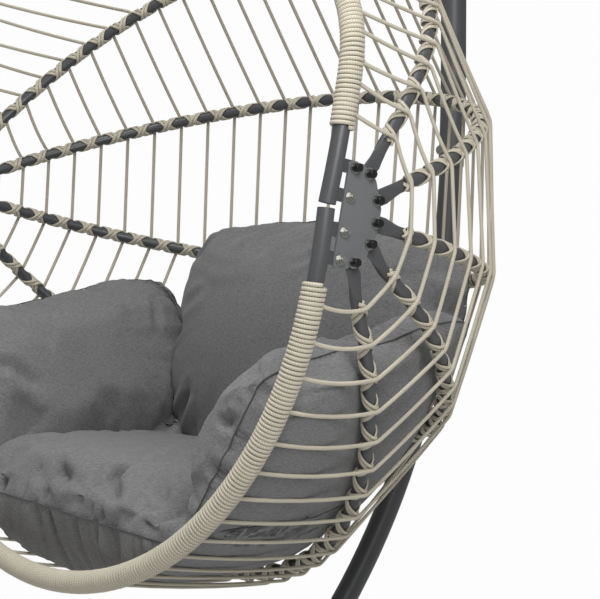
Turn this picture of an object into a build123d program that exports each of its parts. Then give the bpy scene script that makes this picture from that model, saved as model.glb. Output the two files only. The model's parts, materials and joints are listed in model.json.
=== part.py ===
from build123d import *
import math
import os

# Hanging egg chair: a fan of steel hoops on two side plates, laced with rope, hung on a curved pole.
# Millimetres, +Z up, origin on the floor at the centre of the base ring, the sitter faces -Y.

# ---- the side plates' axis and the rim (front opening) ----
hub_height = 947.0
hub_y = -250.0
plate_lean = 12.0
upper_rim_lean = 13.5
lower_rim_lean = 10.5
rim_half_width = 508.0
rim_tube_diameter = 22.0
rim_tube_wall = 1.5
rim_gap = 6.0
upper_rim_rise = 460.0
upper_rim_flare = 3.0
upper_rim_side_radius = 1400.0
upper_rim_shoulder = (4.0, 51.5)
lower_rim_rise = 552.0
lower_rim_flare = 3.0
lower_rim_side_radius = 800.0
lower_rim_shoulder = (5.5, 63.5)
end_plug_depth = 6.0
end_plug_clearance = 0.1

# ---- side plates, tabs and fasteners ----
plate_thickness = 3.0
plate_front_edge = 27.0
plate_corners = ((51.0, 62.0), (76.0, 46.0), (92.0, 12.0), (92.0, -18.0), (79.0, -52.0), (48.0, -72.0))
plate_top = 62.0
plate_bottom = -72.0
plate_corner_radius = 5.0
tab_thickness = 3.0
tab_height = 17.0
tab_bolt_u = 37.0
tab_bolt_v = (55.0, 18.0, -26.0, -61.0)
tab_back_edge = 43.0
tab_start = 9.0
tab_depth_in_tube = 4.0
bolt_diameter = 6.0
bolt_clearance = 0.2
washer_diameter = 16.0
washer_thickness = 1.2
screw_head_diameter = 11.0
screw_head_height = 3.0
screw_shank_past_plate = 9.0
nut_across = 10.0
nut_height = 4.0
cap_diameter = 11.0
cap_height = 9.0
cap_bore_depth = 8.1
cap_crown = 1.0

# ---- ribs: one entry each from the top one round the back to the bottom one ----
rib_tube_diameter = 16.0
rib_tube_wall = 1.2
rib_centre_inset = 15.0
rib_fan = (46.0, 74.0, 105.3, 133.9, 160.1)
rib_bolt_places = ((62.0, 52.0), (82.0, 22.0), (86.0, -6.5), (81.0, -34.0), (59.0, -61.0))
rib_reach = (489.0, 505.0, 477.0, 490.0, 539.0)
rib_flare = (-8.8, -5.0, 0.0, 9.3, -2.7)
rib_side_radius = (733.0, 506.0, 498.0, 300.0, 557.0)
rib_shoulder = ((16.7, 73.2), (34.6, 49.7), (5.4, 68.6), (25.0, 82.0), (11.6, 81.0))
rib_flat_thickness = 4.0
rib_flat_width = 22.0
rib_flat_back = 10.0
rib_flat_length = 20.0
rib_lead = 50.0

# ---- rope ----
rope_diameter = 5.5
rope_count = 32
rope_gap = 0.9
wrap_start = 93.0
first_rope_from_hub = 120.0
first_knot_from_bolt = 62.0
upper_rim_spread = 0.29
pair_shift = 8.0
lashing_length = 20.0
lashing_thickness = 2.5
route_passes = 6
least_pull = 0.45

# ---- cushions ----
cushion_gap = 0.5
seat_centre = (0.0, 80.0, -560.0)
seat_radii = (430.0, 330.0, 170.0)
arm_centre = (480.0, 160.0, -330.0)
arm_radii = (165.0, 330.0, 170.0)
back_centre = (0.0, 560.0, -260.0)
back_radii = (410.0, 240.0, 225.0)

# ---- hanger: two rods from a ring to lugs on the upper rim and on the top rib ----
hang_y = -47.0
hanger_rod_diameter = 12.0
hanger_ring_radius = 18.0
hanger_eye_diameter = 24.0
hanger_eye_length = 13.0
lug_thickness = 4.0
lug_width = 24.0
lug_reach = 34.0
lug_gap = 0.5
lug_fit = 0.2
lug_slot = 24.0
hanger_bolt_diameter = 8.0
hanger_bolt_head_diameter = 14.0
hanger_bolt_head_height = 5.0

# ---- snap hook, swivel and shackle ----
link_gap = 0.4
hook_rod_diameter = 10.0
hook_arc_radius = 16.0
hook_straight = 34.0
gate_length = 24.0
swivel_ring_radius = 13.0
swivel_rod_diameter = 9.0
barrel_diameter = 26.0
barrel_height = 28.0
barrel_wall = 4.0
barrel_gap = 2.0
barrel_floor = 6.0
stem_head_clearance = 0.9
stem_diameter = 10.0
stem_head_diameter = 16.0
stem_head_height = 6.0
shackle_rod_diameter = 10.0
shackle_arc_radius = 14.0
shackle_leg = 34.0
shackle_ear_diameter = 18.0
shackle_ear_length = 10.5
pin_diameter = 10.0
arch_eye_thickness = 6.0
arch_eye_width = 30.0
arch_eye_drop = 18.0

# ---- pole ----
pole_diameter = 42.0
pole_wall = 2.0
lower_pole_diameter = 37.6
pole_back = 481.0
pole_foot_radius = 700.0
pole_bend_radius = 1000.0
pole_bend_from = 38.0
pole_bow_radius = 2400.0
pole_bow_from = 9.0
pole_joint_height = 975.0
pole_overlap = 120.0
arch_top = 1907.0
arch_past_top = 8.0
end_cap_thickness = 3.0
end_cap_plug = 10.0
joint_bolt_above = 28.0
joint_bolt_diameter = 8.0
joint_bolt_head_diameter = 14.0
joint_bolt_head_height = 6.0
joint_washer_diameter = 20.0
joint_washer_depth = 6.0

# ---- base ----
ring_tube_diameter = 38.0
ring_tube_wall = 1.8
ring_radius = 486.0
ring_split_gap = 0.4
foot_height = 8.0
foot_diameter = 36.0
foot_count = 6
foot_wrap = 9.0
foot_fit = 0.2
joiner_length = 110.0
joiner_clearance = 0.2
cross_bar_y = -65.0
socket_length = 75.0
socket_wall = 2.5
socket_clearance = 0.2
saddle_width = 56.0
saddle_length = 50.0

# ---- worked out from the sizes above ----
rim_radius = rim_tube_diameter / 2
rib_radius = rib_tube_diameter / 2
rope_radius = rope_diameter / 2
wrap_radius = rim_radius + rope_diameter
tab_inner_x = rim_half_width - rim_radius + tab_depth_in_tube
plate_inner_x = tab_inner_x + tab_thickness
plate_outer_x = plate_inner_x + plate_thickness
rib_x = rim_half_width - rib_centre_inset
bolt_radius = bolt_diameter / 2
hole_radius = bolt_radius + bolt_clearance
ring_height = foot_height + ring_tube_diameter / 2
pole_radius = pole_diameter / 2
lower_pole_radius = lower_pole_diameter / 2

os.makedirs("parts", exist_ok=True)


def save(piece, name):
    piece.part.label = name
    export_step(piece.part, f"parts/{name}.step")


def sin(degrees):
    return math.sin(math.radians(degrees))


def cos(degrees):
    return math.cos(math.radians(degrees))


def hoop_plane(angle, y, z):
    """Plane of a hoop: local X is the chair's X, local Y points out at angle from straight up."""
    return Plane(origin=(0, y, z), x_dir=(1, 0, 0), z_dir=(0, -cos(angle), sin(angle)))


def hoop_line(plane, half_width, start, rise, flare, side_radius, shoulder):
    """Five tangent arcs from one end of a hoop over its top to the other end."""
    low, high = shoulder
    inward = half_width - side_radius * (cos(flare) - cos(low))
    upward = rise - start - side_radius * (sin(low) + sin(flare))
    scale_down = (cos(low) - cos(high)) * (1 - sin(high)) - cos(high) * (sin(high) - sin(low))
    shoulder_radius = (inward * (1 - sin(high)) - cos(high) * upward) / scale_down
    top_radius = ((cos(low) - cos(high)) * upward - (sin(high) - sin(low)) * inward) / scale_down
    with BuildLine(Plane.XY) as arcs:
        side = JernArc((half_width, start), (sin(flare), cos(flare)), side_radius, low + flare)
        bend = JernArc(side @ 1, side % 1, shoulder_radius, high - low)
        top = JernArc(bend @ 1, bend % 1, top_radius, 2 * (90 - high))
        far_bend = JernArc(top @ 1, top % 1, shoulder_radius, high - low)
        JernArc(far_bend @ 1, far_bend % 1, side_radius, low + flare)
    return arcs.wire().moved(plane.location)


def sweep_tube(line, outer_radius, inner_radius):
    with BuildSketch(Plane(origin=line @ 0, z_dir=line % 0)) as ring:
        Circle(outer_radius)
        Circle(inner_radius, mode=Mode.SUBTRACT)
    sweep(ring.sketch, path=line)


def along(line, from_top):
    """Point and direction on a hoop, a length of tube away from its top."""
    place = line.length / 2 - from_top
    point = line.position_at(place, position_mode=PositionMode.LENGTH)
    direction = line.tangent_at(place, position_mode=PositionMode.LENGTH)
    return point, direction


def bar(start, end, radius, mode=Mode.ADD):
    """Round bar between two points."""
    run = Vector(*end) - Vector(*start)
    with BuildSketch(Plane(origin=start, z_dir=run)) as disc:
        Circle(radius)
    extrude(disc.sketch, amount=run.length, mode=mode)


# ---- planes and lines of the hoops ----
rim_up = hoop_plane(upper_rim_lean, hub_y, hub_height)
rim_down = hoop_plane(180 + lower_rim_lean, hub_y, hub_height)
upper_rim_line = hoop_line(
    rim_up, rim_half_width, rim_gap / 2, upper_rim_rise, upper_rim_flare,
    upper_rim_side_radius, upper_rim_shoulder,
)
lower_rim_line = hoop_line(
    rim_down, rim_half_width, rim_gap / 2, lower_rim_rise, lower_rim_flare,
    lower_rim_side_radius, lower_rim_shoulder,
)


def at_plate(u, v, x=0.0):
    """Point on the plate's own axes: u behind the rim, v up along it."""
    return Vector(x, hub_y + u * cos(plate_lean) + v * sin(plate_lean),
                  hub_height - u * sin(plate_lean) + v * cos(plate_lean))


rib_planes = []
rib_lines = []
for fan, place, reach, flare, side_radius, shoulder in zip(
    rib_fan, rib_bolt_places, rib_reach, rib_flare, rib_side_radius, rib_shoulder
):
    bolt_point = at_plate(*place)
    plane = hoop_plane(fan, bolt_point.Y, bolt_point.Z)
    rib_planes.append(plane)
    rib_lines.append(hoop_line(plane, rib_x, rib_lead, reach, flare, side_radius, shoulder))

# ---- rim tubes with the tabs welded behind them ----
for name, line, tab_places in (
    ("upper_rim_tube", upper_rim_line, tab_bolt_v[:2]),
    ("lower_rim_tube", lower_rim_line, tab_bolt_v[2:]),
):
    with BuildPart() as rim_tube:
        tab_length = tab_back_edge - tab_start
        for v in tab_places:
            for side in (1, -1):
                middle = at_plate(tab_start + tab_length / 2, v, side * (tab_inner_x + tab_thickness / 2))
                with Locations(Location(middle, (-plate_lean, 0, 0))):
                    Box(tab_thickness, tab_length, tab_height)
                with Locations(Location(at_plate(tab_bolt_u, v, side * tab_inner_x), (0, 90, 0))):
                    Cylinder(hole_radius, 4 * tab_thickness, mode=Mode.SUBTRACT)
        sweep_tube(line, rim_radius, rim_radius - rim_tube_wall)
    save(rim_tube, name)

with BuildPart() as rim_end_plugs:
    for line in (upper_rim_line, lower_rim_line):
        for place, inward in ((0, 1), (1, -1)):
            with BuildSketch(Plane(origin=line @ place, z_dir=(line % place) * inward)):
                Circle(rim_radius - rim_tube_wall - end_plug_clearance)
            extrude(amount=end_plug_depth)
save(rim_end_plugs, "rim_end_plugs")

# ---- side plates ----
tab_bolts = [(tab_bolt_u, v) for v in tab_bolt_v]
for name, side in (("right_side_plate", 1), ("left_side_plate", -1)):
    with BuildPart() as side_plate:
        with BuildSketch(Plane(at_plate(0, 0, side * plate_inner_x), at_plate(1, 0) - at_plate(0, 0), (side, 0, 0))):
            outline = [(plate_front_edge, plate_bottom), (plate_front_edge, plate_top), *plate_corners]
            with BuildLine():
                Polyline([(u, side * v) for u, v in outline], close=True)
            make_face()
            fillet(vertices(), plate_corner_radius)
        extrude(amount=plate_thickness)
        for u, v in [*tab_bolts, *rib_bolt_places]:
            with Locations(Location(at_plate(u, v, side * plate_inner_x), (0, 90, 0))):
                Cylinder(hole_radius, 4 * plate_thickness, mode=Mode.SUBTRACT)
    save(side_plate, name)

# ---- ribs: bent tubes with ends pressed flat and bolted inside the plates ----
for number, (plane, line, place) in enumerate(zip(rib_planes, rib_lines, rib_bolt_places), 1):
    outward = plane.y_dir
    across = Vector(1, 0, 0).cross(outward)
    with BuildPart() as rib:
        for side in (1, -1):
            flat_x = side * (plate_inner_x - rib_flat_thickness / 2)
            flat_start = plane.origin + Vector(flat_x, 0, 0) - outward * rib_flat_back
            flat_end = plane.origin + Vector(flat_x, 0, 0) + outward * rib_flat_length
            tube_end = line @ (0 if side > 0 else 1)
            tube_way = (line % 0) if side > 0 else (line % 1) * -1
            with BuildSketch(Plane(origin=flat_end, x_dir=across, z_dir=outward)) as pressed:
                Ellipse(rib_flat_width / 2, rib_flat_thickness / 2)
            with BuildSketch(Plane(origin=tube_end, x_dir=across, z_dir=tube_way)) as round_end:
                Circle(rib_radius)
            loft([pressed.sketch, round_end.sketch])
            with BuildSketch(Plane(origin=flat_start, x_dir=across, z_dir=outward)) as flat:
                Ellipse(rib_flat_width / 2, rib_flat_thickness / 2)
            extrude(flat.sketch, amount=rib_flat_back + rib_flat_length)
            with Locations(Location(plane.origin + Vector(flat_x, 0, 0), (0, 90, 0))):
                Cylinder(hole_radius, 2 * rib_flat_width, mode=Mode.SUBTRACT)
        sweep_tube(line, rib_radius, rib_radius - rib_tube_wall)
    save(rib, f"rib_{number}")


def bolt_pieces(name, places, start, length, outer_diameter, bore_diameter, bore_depth, crown=0.0):
    """The same round piece at each bolt place on both side plates, from start outwards, bored from inside."""
    with BuildPart() as pieces:
        for side in (1, -1):
            for u, v in places:
                foot = Plane(at_plate(u, v, side * start), (0, 1, 0), (side, 0, 0))
                with BuildSketch(foot) as section:
                    Circle(outer_diameter / 2)
                extrude(section.sketch, amount=length)
                with BuildSketch(foot) as bore:
                    Circle(bore_diameter / 2)
                extrude(bore.sketch, amount=bore_depth, mode=Mode.SUBTRACT)
        if crown:
            tips = [face for face in pieces.faces().filter_by(Axis.X) if abs(face.center().X) > start + length / 2]
            fillet([tip.outer_wire().edge() for tip in tips], crown)
    save(pieces, name)


# ---- fasteners: screws from inside, washers and nuts outside, black caps over the nuts ----
capped_places = [*rib_bolt_places, tab_bolts[0]]
bare_places = tab_bolts[1:]
all_places = [*rib_bolt_places, *tab_bolts]
screw_inside = plate_inner_x - rib_flat_thickness
bolt_pieces(
    "plate_washers", all_places, plate_outer_x, washer_thickness, washer_diameter,
    2 * hole_radius, washer_thickness,
)
bolt_pieces(
    "plate_nut_caps", capped_places, plate_outer_x + washer_thickness, cap_height, cap_diameter,
    2 * hole_radius, cap_bore_depth, crown=cap_crown,
)

with BuildPart() as plate_screws:
    for side in (1, -1):
        for u, v in all_places:
            with BuildSketch(Plane(at_plate(u, v, side * screw_inside), (0, 1, 0), (side, 0, 0))) as shank:
                Circle(bolt_radius)
            extrude(shank.sketch, amount=plate_outer_x - screw_inside + screw_shank_past_plate)
            with BuildSketch(Plane(at_plate(u, v, side * screw_inside), (0, 1, 0), (-side, 0, 0))) as head:
                Circle(screw_head_diameter / 2)
            extrude(head.sketch, amount=screw_head_height)
save(plate_screws, "plate_screws")

with BuildPart() as plate_nuts:
    for side in (1, -1):
        for u, v in bare_places:
            nut_start = at_plate(u, v, side * (plate_outer_x + washer_thickness))
            with BuildSketch(Plane(nut_start, (0, 1, 0), (side, 0, 0))) as nut:
                RegularPolygon(nut_across / 2, 6, major_radius=False)
                Circle(hole_radius, mode=Mode.SUBTRACT)
            extrude(nut.sketch, amount=nut_height)
save(plate_nuts, "plate_nuts")

# ---- rope wrapped round the rim, from each plate to the hanger's lugs ----
rim_top = rim_up.from_local_coords((0, upper_rim_rise))
rib_top = rib_planes[0].from_local_coords((0, rib_reach[0]))
for name, plane, line in (
    ("upper_rim_rope_wrap", rim_up, upper_rim_line),
    ("lower_rim_rope_wrap", rim_down, lower_rim_line),
):
    with BuildPart() as rope_wrap:
        sweep_tube(line, wrap_radius, rim_radius)
        split(bisect_by=Plane(plane.from_local_coords((0, wrap_start)), plane.x_dir, plane.y_dir), keep=Keep.TOP)
        if line is upper_rim_line:
            with Locations(Location(rim_top)):
                Box(lug_slot, 4 * wrap_radius, 4 * wrap_radius, mode=Mode.SUBTRACT)
    save(rope_wrap, name)

# ---- where each rope meets each hoop ----
half_count = (rope_count - 1) / 2
rope_steps = [step - half_count for step in range(rope_count)]


def rim_place(line, step, spread, shift):
    """Length from the hoop's top: ropes stand further apart towards the top where spread is set."""
    reach = line.length / 2 - first_rope_from_hub
    share = abs(step) / half_count
    moved = reach * share * (1 + spread * (1 - share))
    if round(half_count - abs(step)) % 2:
        moved -= shift
    return math.copysign(moved, step)


def knot_place(line, step):
    reach = line.length / 2 - (first_knot_from_bolt - rib_lead)
    return reach * step / half_count


with_lashing = rib_radius + link_gap + lashing_thickness
rope_ring = with_lashing + rope_gap + rope_radius


def rope_route(step):
    """Corners of one rope: over every rib on its outer side, from the upper rim to the lower one."""
    top_point, _ = along(upper_rim_line, rim_place(upper_rim_line, step, upper_rim_spread, pair_shift))
    low_point, _ = along(lower_rim_line, rim_place(lower_rim_line, step, 0.0, 0.0))
    crossings = []
    for line, plane in zip(rib_lines, rib_planes):
        point, rib_way = along(line, knot_place(line, step))
        crossings.append((point, rib_way, rib_way.cross(plane.z_dir)))
    corners = [top_point, *[point for point, _, _ in crossings], low_point]
    for _ in range(route_passes):
        for index, (point, rib_way, rib_outside) in enumerate(crossings, 1):
            arriving = (corners[index] - corners[index - 1]).normalized()
            leaving = (corners[index + 1] - corners[index]).normalized()
            outward = arriving - leaving
            outward -= rib_way * outward.dot(rib_way)
            if outward.dot(rib_outside) < least_pull:
                outward = rib_outside
            half_turn = math.radians(arriving.get_angle(leaving) / 2)
            slant = rib_way.dot((arriving + leaving).normalized())
            reach = rope_ring * math.sqrt(1 + math.tan(half_turn) ** 2 / (1 - slant**2))
            corners[index] = point + outward.normalized() * reach
    corners[0] += (corners[1] - corners[0]).normalized() * (wrap_radius + rope_gap)
    corners[-1] += (corners[-2] - corners[-1]).normalized() * (wrap_radius + rope_gap)
    return corners


ropes_by_side = {"left": [], "right": []}
for step in rope_steps:
    ropes_by_side["right" if step > 0 else "left"].append(rope_route(step))

for side, routes in ropes_by_side.items():
    with BuildPart() as ropes:
        for route in routes:
            with BuildLine() as rope_line:
                FilletPolyline(*route, radius=rope_ring)
            with BuildSketch(Plane(origin=rope_line.line @ 0, z_dir=rope_line.line % 0)) as rope_end:
                Circle(rope_radius)
            sweep(rope_end.sketch, path=rope_line.line)
    save(ropes, f"{side}_ropes")

# ---- lashings that tie each rope to each rib ----
for number, line in enumerate(rib_lines, 1):
    with BuildPart() as lashings:
        for step in rope_steps:
            point, direction = along(line, knot_place(line, step))
            with BuildSketch(Plane(point - direction * (lashing_length / 2), z_dir=direction)) as band:
                Circle(rib_radius + link_gap + lashing_thickness)
                Circle(rib_radius + link_gap, mode=Mode.SUBTRACT)
            extrude(band.sketch, amount=lashing_length)
    save(lashings, f"rib_{number}_lashings")

# ---- cushions: they fill the bowl inside the ropes, each cut from it by a crowned shape ----
bowl_hoops = [(rim_down, rim_half_width, rim_gap / 2, lower_rim_rise, lower_rim_flare,
               lower_rim_side_radius, lower_rim_shoulder, wrap_radius)]
for index in (4, 3, 2, 1):
    bowl_hoops.append((rib_planes[index], rib_x, rib_lead, rib_reach[index], rib_flare[index],
                       rib_side_radius[index], rib_shoulder[index], with_lashing))

with BuildPart() as bowl:
    sections = []
    for plane, width, start, reach, flare, side_radius, shoulder, thickness in bowl_hoops:
        inset = thickness + cushion_gap
        inner = hoop_line(Plane.XY, width - inset, start, reach - inset, flare, side_radius - inset, shoulder)
        with BuildSketch(plane) as section:
            with BuildLine():
                add(inner)
                Line(inner @ 1, inner @ 0)
            make_face()
        sections.append(section.sketch)
    loft(sections, ruled=True)


def ellipsoid(centre, radii, grow=0.0):
    """Ball stretched to its three radii, placed from the side plates' axis."""
    ball = Solid.make_sphere(1.0, angle1=-90, angle2=90, angle3=360)
    stretched = scale(ball, by=tuple(radius + grow for radius in radii))
    return stretched.moved(Location((centre[0], centre[1] + hub_y, centre[2] + hub_height)))


left_arm_centre = (-arm_centre[0], arm_centre[1], arm_centre[2])
seat_crown = ellipsoid(seat_centre, seat_radii)
room_for_seat = ellipsoid(seat_centre, seat_radii, cushion_gap)
back_crown = ellipsoid(back_centre, back_radii)
arm_crowns = {"right": ellipsoid(arm_centre, arm_radii), "left": ellipsoid(left_arm_centre, arm_radii)}
room_for_arms = [ellipsoid(centre, arm_radii, cushion_gap) for centre in (arm_centre, left_arm_centre)]

with BuildPart() as seat_cushion:
    add(bowl.part)
    add(seat_crown, mode=Mode.INTERSECT)
save(seat_cushion, "seat_cushion")

for side, crown in arm_crowns.items():
    with BuildPart() as arm_cushion:
        add(bowl.part)
        add(crown, mode=Mode.INTERSECT)
        add(room_for_seat, mode=Mode.SUBTRACT)
    save(arm_cushion, f"{side}_arm_cushion")

with BuildPart() as back_cushion:
    add(bowl.part)
    add(back_crown, mode=Mode.INTERSECT)
    add(room_for_seat, mode=Mode.SUBTRACT)
    for room in room_for_arms:
        add(room, mode=Mode.SUBTRACT)
save(back_cushion, "back_cushion")

# ---- heights of the hanging hardware, from the pole's top down ----
arch_radius = pole_back - hang_y
pin_z = arch_top - pole_radius - arch_eye_drop
shackle_rod_radius = shackle_rod_diameter / 2
swivel_rod_radius = swivel_rod_diameter / 2
hook_rod_radius = hook_rod_diameter / 2
hanger_rod_radius = hanger_rod_diameter / 2
bow_centre_z = pin_z - shackle_leg
bow_z = bow_centre_z - shackle_arc_radius
swivel_ring_z = bow_z + shackle_rod_radius + swivel_rod_radius + link_gap - swivel_ring_radius
barrel_top = swivel_ring_z - swivel_ring_radius - swivel_rod_radius - barrel_gap
lower_ring_z = barrel_top - barrel_height - swivel_ring_radius
hook_top = lower_ring_z - swivel_ring_radius + swivel_rod_radius + hook_rod_radius + link_gap
hook_middle = hook_top - hook_arc_radius - hook_straight / 2
hook_bottom = hook_middle - hook_straight / 2 - hook_arc_radius
hanger_ring_z = hook_bottom + hook_rod_radius + hanger_rod_radius + link_gap - hanger_ring_radius

# ---- hanger ----
lug_pins = []
for name, top, tube_radius in (("upper_rim_lug", rim_top, rim_radius), ("top_rib_lug", rib_top, rib_radius)):
    way = (Vector(0, hang_y, hanger_ring_z) - top).normalized()
    pin = top + way * lug_reach
    lug_pins.append((pin, way))
    with BuildPart() as lug:
        for side in (1, -1):
            lug_x = side * (hanger_eye_length / 2 + lug_gap)
            with BuildSketch(Plane(top + Vector(lug_x, 0, 0), way, (side, 0, 0))) as ear:
                with Locations((lug_reach / 2, 0)):
                    Rectangle(lug_reach, lug_width)
                with Locations((lug_reach, 0)):
                    Circle(lug_width / 2)
                with Locations((lug_reach, 0)):
                    Circle(hanger_bolt_diameter / 2 + bolt_clearance, mode=Mode.SUBTRACT)
            extrude(ear.sketch, amount=lug_thickness)
        with Locations(Location(top, (0, 90, 0))):
            Cylinder(tube_radius + lug_fit, 4 * lug_width, mode=Mode.SUBTRACT)
    save(lug, name)

with BuildPart() as hanger:
    with Locations(Location((0, hang_y, hanger_ring_z), (0, 90, 0))):
        Torus(hanger_ring_radius, hanger_rod_radius)
    for pin, way in lug_pins:
        ring_side = Vector(0, hang_y, hanger_ring_z) - way * hanger_ring_radius
        bar(pin, ring_side, hanger_rod_radius)
        with Locations(Location(pin, (0, 90, 0))):
            Cylinder(hanger_eye_diameter / 2, hanger_eye_length)
    for pin, way in lug_pins:
        with Locations(Location(pin, (0, 90, 0))):
            Cylinder(hanger_bolt_diameter / 2 + bolt_clearance, 2 * hanger_eye_length, mode=Mode.SUBTRACT)
save(hanger, "hanger")

with BuildPart() as hanger_bolts:
    grip = hanger_eye_length / 2 + lug_gap + lug_thickness
    for pin, way in lug_pins:
        bar(pin - Vector(grip, 0, 0), pin + Vector(grip, 0, 0), hanger_bolt_diameter / 2)
        for side in (1, -1):
            face = pin + Vector(side * grip, 0, 0)
            bar(face, face + Vector(side * hanger_bolt_head_height, 0, 0), hanger_bolt_head_diameter / 2)
save(hanger_bolts, "hanger_bolts")

# ---- snap hook with its gate ----
hook_plane = Plane((0, hang_y, hook_middle), (1, 0, 0), (0, -1, 0))
half_straight = hook_straight / 2
with BuildPart() as snap_hook:
    with BuildLine(hook_plane) as hook_line:
        low_end = Line((hook_arc_radius, -gate_length / 2), (hook_arc_radius, -half_straight))
        low_bend = JernArc(low_end @ 1, (0, -1), hook_arc_radius, -180)
        back = Line((-hook_arc_radius, -half_straight), (-hook_arc_radius, half_straight))
        high_bend = JernArc(back @ 1, (0, 1), hook_arc_radius, -180)
        Line((hook_arc_radius, half_straight), (hook_arc_radius, gate_length / 2))
    hook_wire = hook_line.wire()
    with BuildSketch(Plane(origin=hook_wire @ 0, z_dir=hook_wire % 0)) as hook_section:
        Circle(hook_rod_radius)
    sweep(hook_section.sketch, path=hook_wire)
save(snap_hook, "snap_hook")

with BuildPart() as snap_hook_gate:
    half_gate = gate_length / 2 - link_gap
    bar(
        (hook_arc_radius, hang_y, hook_middle - half_gate),
        (hook_arc_radius, hang_y, hook_middle + half_gate),
        hook_rod_radius - link_gap,
    )
save(snap_hook_gate, "snap_hook_gate")

# ---- swivel: a ring and stem turning in a barrel with its own ring ----
stem_head_top = barrel_top - barrel_wall - stem_head_clearance
with BuildPart() as swivel_eye:
    with Locations(Location((0, hang_y, swivel_ring_z), (0, 90, 0))):
        Torus(swivel_ring_radius, swivel_rod_radius)
    stem_start = swivel_ring_z - swivel_ring_radius
    bar((0, hang_y, stem_start), (0, hang_y, stem_head_top - stem_head_height), stem_diameter / 2)
    bar((0, hang_y, stem_head_top), (0, hang_y, stem_head_top - stem_head_height), stem_head_diameter / 2)
save(swivel_eye, "swivel_eye")

with BuildPart() as swivel_barrel:
    barrel_bottom = barrel_top - barrel_height
    bar((0, hang_y, barrel_top), (0, hang_y, barrel_bottom), barrel_diameter / 2)
    with Locations(Location((0, hang_y, lower_ring_z), (0, 90, 0))):
        Torus(swivel_ring_radius, swivel_rod_radius)
    cavity_radius = barrel_diameter / 2 - barrel_wall
    bar(
        (0, hang_y, barrel_top - barrel_wall), (0, hang_y, barrel_bottom + barrel_floor),
        cavity_radius, mode=Mode.SUBTRACT,
    )
    bar(
        (0, hang_y, barrel_top), (0, hang_y, barrel_top - barrel_wall),
        stem_diameter / 2 + link_gap, mode=Mode.SUBTRACT,
    )
save(swivel_barrel, "swivel_barrel")

# ---- shackle and its pin ----
with BuildPart() as shackle:
    with BuildLine(Plane((0, hang_y, 0), (1, 0, 0), (0, -1, 0))) as bow:
        leg = Line((shackle_arc_radius, pin_z), (shackle_arc_radius, bow_centre_z))
        JernArc(leg @ 1, (0, -1), shackle_arc_radius, -180)
        Line((-shackle_arc_radius, bow_centre_z), (-shackle_arc_radius, pin_z))
    bow_wire = bow.wire()
    with BuildSketch(Plane(origin=bow_wire @ 0, z_dir=bow_wire % 0)) as bow_section:
        Circle(shackle_rod_radius)
    sweep(bow_section.sketch, path=bow_wire)
    for side in (1, -1):
        with Locations(Location((side * shackle_arc_radius, hang_y, pin_z), (0, 90, 0))):
            Cylinder(shackle_ear_diameter / 2, shackle_ear_length)
    with Locations(Location((0, hang_y, pin_z), (0, 90, 0))):
        Cylinder(pin_diameter / 2 + bolt_clearance, 4 * shackle_arc_radius, mode=Mode.SUBTRACT)
save(shackle, "shackle")

with BuildPart() as shackle_pin:
    pin_end = shackle_arc_radius + shackle_ear_length / 2
    bar((-pin_end, hang_y, pin_z), (pin_end, hang_y, pin_z), pin_diameter / 2)
    for side in (1, -1):
        bar(
            (side * pin_end, hang_y, pin_z), (side * (pin_end + hanger_bolt_head_height), hang_y, pin_z),
            shackle_ear_diameter / 2 - 1,
        )
save(shackle_pin, "shackle_pin")

with BuildPart() as arch_eye:
    with BuildSketch(Plane((-arch_eye_thickness / 2, hang_y, pin_z), (0, 1, 0), (1, 0, 0))) as eye:
        with Locations((0, (arch_top - pin_z) / 2)):
            Rectangle(arch_eye_width, arch_top - pin_z)
        Circle(arch_eye_width / 2)
        Circle(pin_diameter / 2 + link_gap, mode=Mode.SUBTRACT)
    extrude(eye.sketch, amount=arch_eye_thickness)
    with Locations(Location((0, hang_y, arch_top), (90, 0, 0))):
        Cylinder(pole_radius + lug_fit, 4 * arch_eye_width, mode=Mode.SUBTRACT)
save(arch_eye, "arch_eye")

# ---- pole: foot run, three bends up to the joint, then the arch over the basket ----
bow_y = pole_back - pole_bow_radius * (1 - cos(pole_bow_from))
bend_y = bow_y - pole_bend_radius * (cos(pole_bow_from) - cos(pole_bend_from))
foot_y = bend_y - pole_foot_radius * cos(pole_bend_from)
upright_z = (
    ring_height + pole_foot_radius * (1 - sin(pole_bend_from))
    + pole_bend_radius * (sin(pole_bend_from) - sin(pole_bow_from)) + pole_bow_radius * sin(pole_bow_from)
)
foot_end_y = ring_tube_diameter / 2 - ring_radius + link_gap


def lean_at(height):
    """Lean of the bowed stretch from upright, at a height below its top."""
    return math.degrees(math.asin((upright_z - height) / pole_bow_radius))


joint_lean = lean_at(pole_joint_height)
joint_y = pole_back - pole_bow_radius * (1 - cos(joint_lean))
with BuildLine(Plane.YZ) as lower_line:
    foot = Line((foot_end_y, ring_height), (foot_y, ring_height))
    foot_bend = JernArc(foot @ 1, (1, 0), pole_foot_radius, 90 - pole_bend_from)
    middle_bend = JernArc(foot_bend @ 1, foot_bend % 1, pole_bend_radius, pole_bend_from - pole_bow_from)
    JernArc(
        middle_bend @ 1, middle_bend % 1, pole_bow_radius,
        pole_bow_from - lean_at(pole_joint_height + pole_overlap),
    )
lower_pole_wire = lower_line.wire()
with BuildLine(Plane.YZ) as upper_line:
    start_way = (sin(joint_lean), cos(joint_lean))
    top_bow = JernArc((joint_y, pole_joint_height), start_way, pole_bow_radius, joint_lean)
    upright = Line(top_bow @ 1, (pole_back, arch_top - arch_radius))
    JernArc(upright @ 1, (0, 1), arch_radius, 90 + arch_past_top)
upper_pole_wire = upper_line.wire()
bolt_z = pole_joint_height + joint_bolt_above
bolt_y = pole_back - pole_bow_radius * (1 - cos(lean_at(bolt_z)))

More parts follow.
